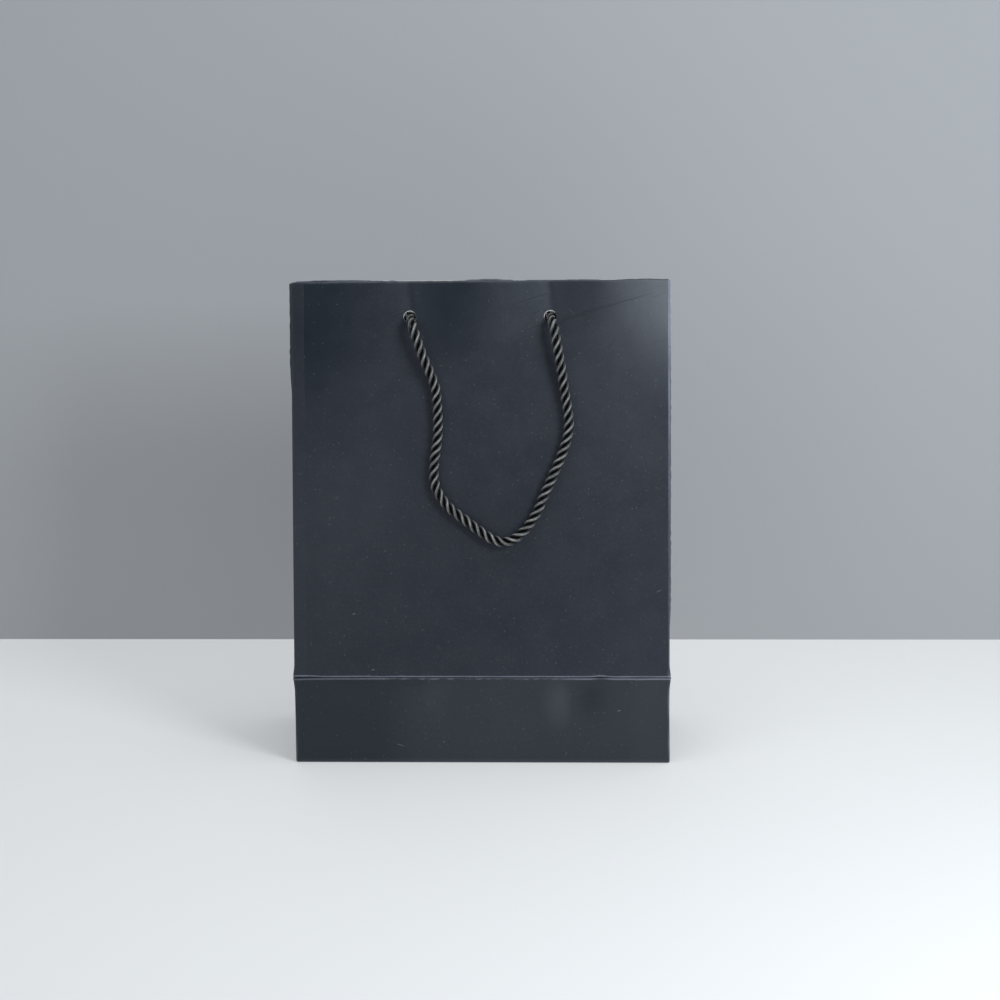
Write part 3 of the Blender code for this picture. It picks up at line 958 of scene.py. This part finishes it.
def gusset_shape(side, facing):
    """The facet's corners at rest: edge foot, edge top and the gusset's folded-in top middle."""
    foot = on_wall(facing, side * GUSSET_X, 0.0, -FOLD_INSET)
    top = on_wall(facing, side * GUSSET_X, WALL_LENGTH, -FOLD_INSET)
    middle = Vector((side * (GUSSET_X - WALL_LENGTH * TILT_SIN), 0.0, CREASE_Z + WALL_LENGTH * TILT_COS))
    return foot, top, middle


def in_gusset_hem(place):
    return place.z > CREASE_Z + (WALL_LENGTH - HEM_DEPTH) * LEAN_COS


def follow_bend(facing, point, share):
    """The flank behind the front wall's bent corner is bent with it."""
    if facing > 0:
        return 0.0
    return corner_bend(point.x, share * WALL_LENGTH)


def side_lip(side, run, share):
    """How far the gusset's fold swells out past the wall's edge, a short run from the fold."""
    if side < 0:
        reach = 0.0003 + 0.0009 * smoothstep(0.70, 0.80, share)
    else:
        reach = 0.0010 * smoothstep(0.08, 0.20, share)
    ragged = 1 + 0.45 * wobble(side, 3.0, share * WALL_LENGTH, 420.0)
    swell = smoothstep(0.0, 0.0007, run) * (1 - smoothstep(0.0007, 0.0045, run))
    return side * (reach * ragged + 0.0004) * swell


def make_flank(side_name, side, wall_name, facing):
    """The narrow gusset facet folded back behind a wall's edge."""
    foot, top, middle = gusset_shape(side, facing)
    rows = 90
    across_places = [0.0, 0.004, 0.009, 0.015, 0.022, 0.032, 0.05, 0.075]
    across_places += list(np.linspace(0.1, 1.0, 19))
    normal = (top - foot).cross(middle - foot).normalized() * (side * -facing)
    follow = on_wall(facing, 0, 0, 1) - on_wall(facing, 0, 0, 0)
    vertices = []
    wear = []
    for row in range(rows + 1):
        share = 0.012 + 0.988 * row / rows
        start = foot.lerp(top, share)
        end = foot.lerp(middle, share)
        droop = (top - foot).normalized() * smoothstep(0.85, 1.0, share)
        trim = 1 - 0.042 * smoothstep(0.95, 1.0, share)  # room for the tips at the open limit
        for across in across_places:
            run = across * share * GUSSET_HALF
            point = start.lerp(end, across * trim)
            slack = sin(across * pi) * share
            belly = 0.0007 * slack * (0.6 + wobble(point.x, point.y, point.z, 16.0))
            place = point + normal * belly + follow * follow_bend(facing, point, share)
            place += droop * ((mouth_edge(facing, point.x) - 0.0005) * (1 - 0.5 * across))
            place.x += side_lip(side, run, share) if facing < 0 else 0.0
            vertices.append(place)
            # The right gusset's folds are paler towards the mouth: rubbing, partly a painted highlight on
            # the lit side.
            fold_wear_and_sheen = 0.05 if side < 0 else 0.25 + 0.55 * smoothstep(0.70, 0.97, share)
            at_diagonal = 0.30 * (across * 12 - 11)
            wear.append(max(fold_wear_and_sheen * (1 - smoothstep(0.0012, 0.003, run)), at_diagonal))
    faces = flip(grid_faces(rows + 1, len(across_places)), side * facing > 0)
    piece = new_object(f"{side_name}_{wall_name}_gusset_fold", vertices, faces, PAPER_SLOTS)
    add_attributes(piece, wear=wear)
    thicken(piece, rim=0)
    coat(piece, in_gusset_hem)
    mark_sharp(piece)
    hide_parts(f"{side_name}_gusset_{wall_name}_flank")
    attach(piece, f"{side_name}_{wall_name}_fold")


def make_gusset_centre(side_name, side):
    """The tall triangle between a gusset's two folds, with its scored centre line."""
    levels = list(np.linspace(0.0, 0.042, 43)) + list(np.linspace(0.045, WALL_LENGTH, 60))
    columns = 64
    vertices = []
    wear = []
    for up in levels:
        half = max(GUSSET_HALF * (1 - up / WALL_LENGTH), 0.0003)
        for column in range(columns + 1):
            y = half * (2 * column / columns - 1)
            score = bump(y, 0.0009) * smoothstep(0.036, 0.044, up)
            mitre = bump(abs(y) - (GUSSET_HALF - up), 0.0015) * (1 - smoothstep(0.034, 0.040, up))
            belly = 0.0008 * wobble(side * 3.0, y, up, 22.0) * (1 - (y / half) ** 2)
            out = belly - 0.00025 * score - 0.00018 * mitre
            line_out, line_wear = crease_profile(0.05, up)
            out += line_out
            x = side * (GUSSET_X - up * TILT_SIN + out * TILT_COS)
            vertices.append(Vector((x, y, CREASE_Z + up * TILT_COS + out * TILT_SIN)))
            # Pale score, mitre and crease lips: rubbed, partly a painted highlight.
            wear.append(min(0.22 * score + 0.06 * mitre + line_wear * 0.7, 1.0))
    faces = flip(grid_faces(len(levels), columns + 1), side < 0)
    piece = new_object(side_name + "_gusset_triangle", vertices, faces, PAPER_SLOTS)
    add_attributes(piece, wear=wear)
    thicken(piece, rim=0)
    coat(piece, in_gusset_hem)
    mark_sharp(piece)
    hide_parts(side_name + "_gusset_centre")
    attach(piece, side_name + "_gusset")


def ring_points(inset, arc=5):
    """One level of the base's outline, anticlockwise from the front left corner: (x, y, nx, ny)."""
    half_x = HALF_WIDTH - PAPER / 2 - inset
    half_y = HALF_DEPTH - PAPER / 2 - inset
    radius = max(BASE_RADIUS - inset, 0.0002)
    points = []
    across = int(2 * HALF_WIDTH / COARSE_CELL)
    deep = int(2 * HALF_DEPTH / COARSE_CELL)
    corners = [(1, -1, -pi / 2), (1, 1, 0.0), (-1, 1, pi / 2), (-1, -1, pi)]
    previous = Vector((-half_x + radius, -half_y))
    for (side_x, side_y, begin), count in zip(corners, (across, deep, across, deep)):
        centre = Vector((side_x * (half_x - radius), side_y * (half_y - radius)))
        normal = Vector((cos(begin), sin(begin)))
        first = centre + radius * normal
        for step in range(count):
            points.append((*previous.lerp(first, step / count), *normal))
        for step in range(arc):
            turn = begin + pi / 2 * step / arc
            points.append((*(centre + radius * Vector((cos(turn), sin(turn)))), cos(turn), sin(turn)))
        previous = centre + radius * Vector((cos(begin + pi / 2), sin(begin + pi / 2)))
    return points


# Patches of painted sheen (above 0) and painted shade (below 0) on the band's front: strength, x, width,
# z, height.
PAINTED_BAND_SHEEN_SHADE = [
    (0.16, -0.026, 0.012, 0.036, 0.018), (0.38, 0.040, 0.008, 0.032, 0.014),
    (-0.40, 0.056, 0.009, 0.034, 0.011),
]


def painted_band_sheen_shade(x, y, z):
    """Painted sheen (above 0) and painted shade (below 0) on the band's front."""
    if y > -HALF_DEPTH + 0.003:
        return 0.0
    # Painted shade, darkest to the left, and two soft places of painted sheen.
    tone = -0.16 - 0.36 * (1 - smoothstep(-0.056, -0.026, x))
    tone += 0.17 * bump(x - 0.006, 0.036) + 0.22 * bump(x - 0.085, 0.020)
    for strength, place, width, middle, height in PAINTED_BAND_SHEEN_SHADE:
        tone += strength * bump(x - place, width) * bump(z - middle, height)
    return tone


def base_relief(x, y, z):
    """Soft dents in the band below the crease."""
    rise = smoothstep(0.001, 0.012, z) * (1 - smoothstep(CREASE_Z - 0.004, CREASE_Z - 0.0005, z))
    slack = max(1 - abs(x / HALF_WIDTH) ** 6, 0.0) if abs(y) > HALF_DEPTH - 0.003 else 0.8
    relief = 0.0008 * wobble(x, y * 2, z, 24.0) + 0.00025 * wobble(x, y, z, 70.0)
    if y < 0:
        relief += 0.0008 * bump(x + 0.036, 0.011) * bump(z - 0.035, 0.012)
        relief -= 0.0009 * bump(x - 0.052, 0.009) * bump(z - 0.037, 0.010)
    return relief * rise * slack


def band_levels():
    """The base's levels, (inset, height): in under the bottom, round its edge and up to the crease."""
    levels = [(0.013, PAPER / 2 + 0.0004), (0.006, PAPER / 2), (0.002, PAPER / 2)]
    for step in range(6):
        turn = pi / 2 * step / 5
        levels.append((BASE_RADIUS * (1 - sin(turn)), PAPER / 2 + BASE_RADIUS * (1 - cos(turn))))
    top = CREASE_Z - 0.0002
    below_crease = (0.003, 0.0022, 0.0016, 0.0012, 0.0010, 0.0008, 0.0006, 0.0004, 0.0002, 0.0)
    heights = list(np.linspace(BASE_RADIUS + 0.0015, top - 0.004, int(0.04 / COARSE_CELL)))
    heights += [top - step for step in below_crease]
    return levels + [(0.0, height) for height in heights]


def band_wear(x, y, height, corner, line_wear):
    """Paleness below the crease, where the line is dashed in the middle and a painted highlight makes it
    paler to the right, at the rubbed corners and the foot.
    """
    dashes = smoothstep(-0.10, 0.25, wobble(x, y, 5.0, 420.0))
    middle = smoothstep(-0.052, -0.040, x) * (1 - smoothstep(0.036, 0.050, x))
    line = line_wear * (1 - middle * (1 - dashes)) * (0.36 + 0.22 * smoothstep(0.03, 0.06, x))
    rubbed = 0.3 * (0.5 + wobble(x, y, height, 90.0)) if corner else 0.0
    return min(line + rubbed + 0.08 * bump(height - 0.0006, 0.0007), 1.0)


def make_base():
    """The standing band and the turned-under rim of the bottom, in one loop."""
    levels = band_levels()
    vertices = []
    wear = []
    tone = []
    for inset, height in levels:
        spread = 0.0003 * (1 - smoothstep(0.0, 0.03, height))
        spread += 0.0006 * smoothstep(CREASE_Z - 0.007, CREASE_Z, height)
        stretch = 1 + spread / HALF_WIDTH
        for x, y, normal_x, normal_y in ring_points(inset):
            line_out, line_wear = crease_profile(x if y < 0 else -x, CREASE_Z - height + crumple(x))
            out = (base_relief(x, y, height) + line_out) if inset == 0.0 else 0.0
            vertices.append(Vector((x * stretch + normal_x * out, y + normal_y * out, height)))
            wear.append(band_wear(x, y, height, abs(normal_x * normal_y) > 0.1, line_wear))
            # Painted sheen and painted shade on the band's front.
            tone.append(painted_band_sheen_shade(x, y, height))
    count = len(vertices) // len(levels)
    faces = grid_faces(len(levels), count, closed=True)
    piece = new_object("base_band_paper", vertices, faces, PAPER_SLOTS)
    add_attributes(piece, wear=wear, lift=tone)
    thicken(piece, rim=0)
    mark_sharp(piece)
    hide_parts("front_lower_panel", "back_lower_panel", "left_lower_gusset", "right_lower_gusset")
    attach(piece, "base")


def make_bottom_flaps():
    """The glued bottom flaps, seen from below and from inside, with mitred ends."""
    inner_x = HALF_WIDTH - 0.0008
    inner_y = HALF_DEPTH - 0.0008
    overlap = 0.008
    long_size = (inner_y + overlap, inner_x, inner_y, 40)  # reach, half length, start, columns
    short_size = (0.030, inner_y, inner_x, 16)
    flaps = (
        ("front", -1, 0.00055, True), ("back", 1, 0.00110, True),
        ("left", -1, 0.00165, False), ("right", 1, 0.00165, False),
    )
    rows = 12
    for wall_name, side, height, is_long in flaps:
        reach, along, start, columns = long_size if is_long else short_size
        vertices = []
        for row in range(rows + 1):
            depth = reach * row / rows
            half = along - depth
            inset = start - depth
            for column in range(columns + 1):
                offset = half * (2 * column / columns - 1)
                x, y = (offset, side * inset) if is_long else (side * inset, offset)
                wave = 0.00006 * wobble(x, y, height * 90, 45.0)
                vertices.append(Vector((x, y, height + wave)))
        faces = flip(grid_faces(rows + 1, columns + 1), (side < 0) == is_long)
        piece = new_object(wall_name + "_bottom_flap_paper", vertices, faces, PAPER_SLOTS)
        thicken(piece)
        mark_sharp(piece)
        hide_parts(wall_name + "_bottom_flap")
        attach(piece, "base")


def dress_cad_nodes():
    """Materials for the stiff hidden pieces that keep their own shapes."""
    for node, material in (("base_board", BOARD), ("lower_seam_flap", INSIDE)):
        item = frame["nodes"][node]
        item.data.materials.clear()
        item.data.materials.append(material)


make_camera()
make_handle("front", -1, FRONT_ROUTE, 1)
make_handle("back", 1, BACK_ROUTE, -1)
make_stage()
make_lights()
for make_piece in (make_wall_paper, make_card, make_hole_lips):
    for wall_name, facing in WALLS:
        make_piece(wall_name, facing, front_relief if facing < 0 else back_relief)
for side_name, side in SIDES:
    make_gusset_centre(side_name, side)
    for wall_name, facing in WALLS:
        make_flank(side_name, side, wall_name, facing)
make_base()
make_bottom_flaps()
dress_cad_nodes()
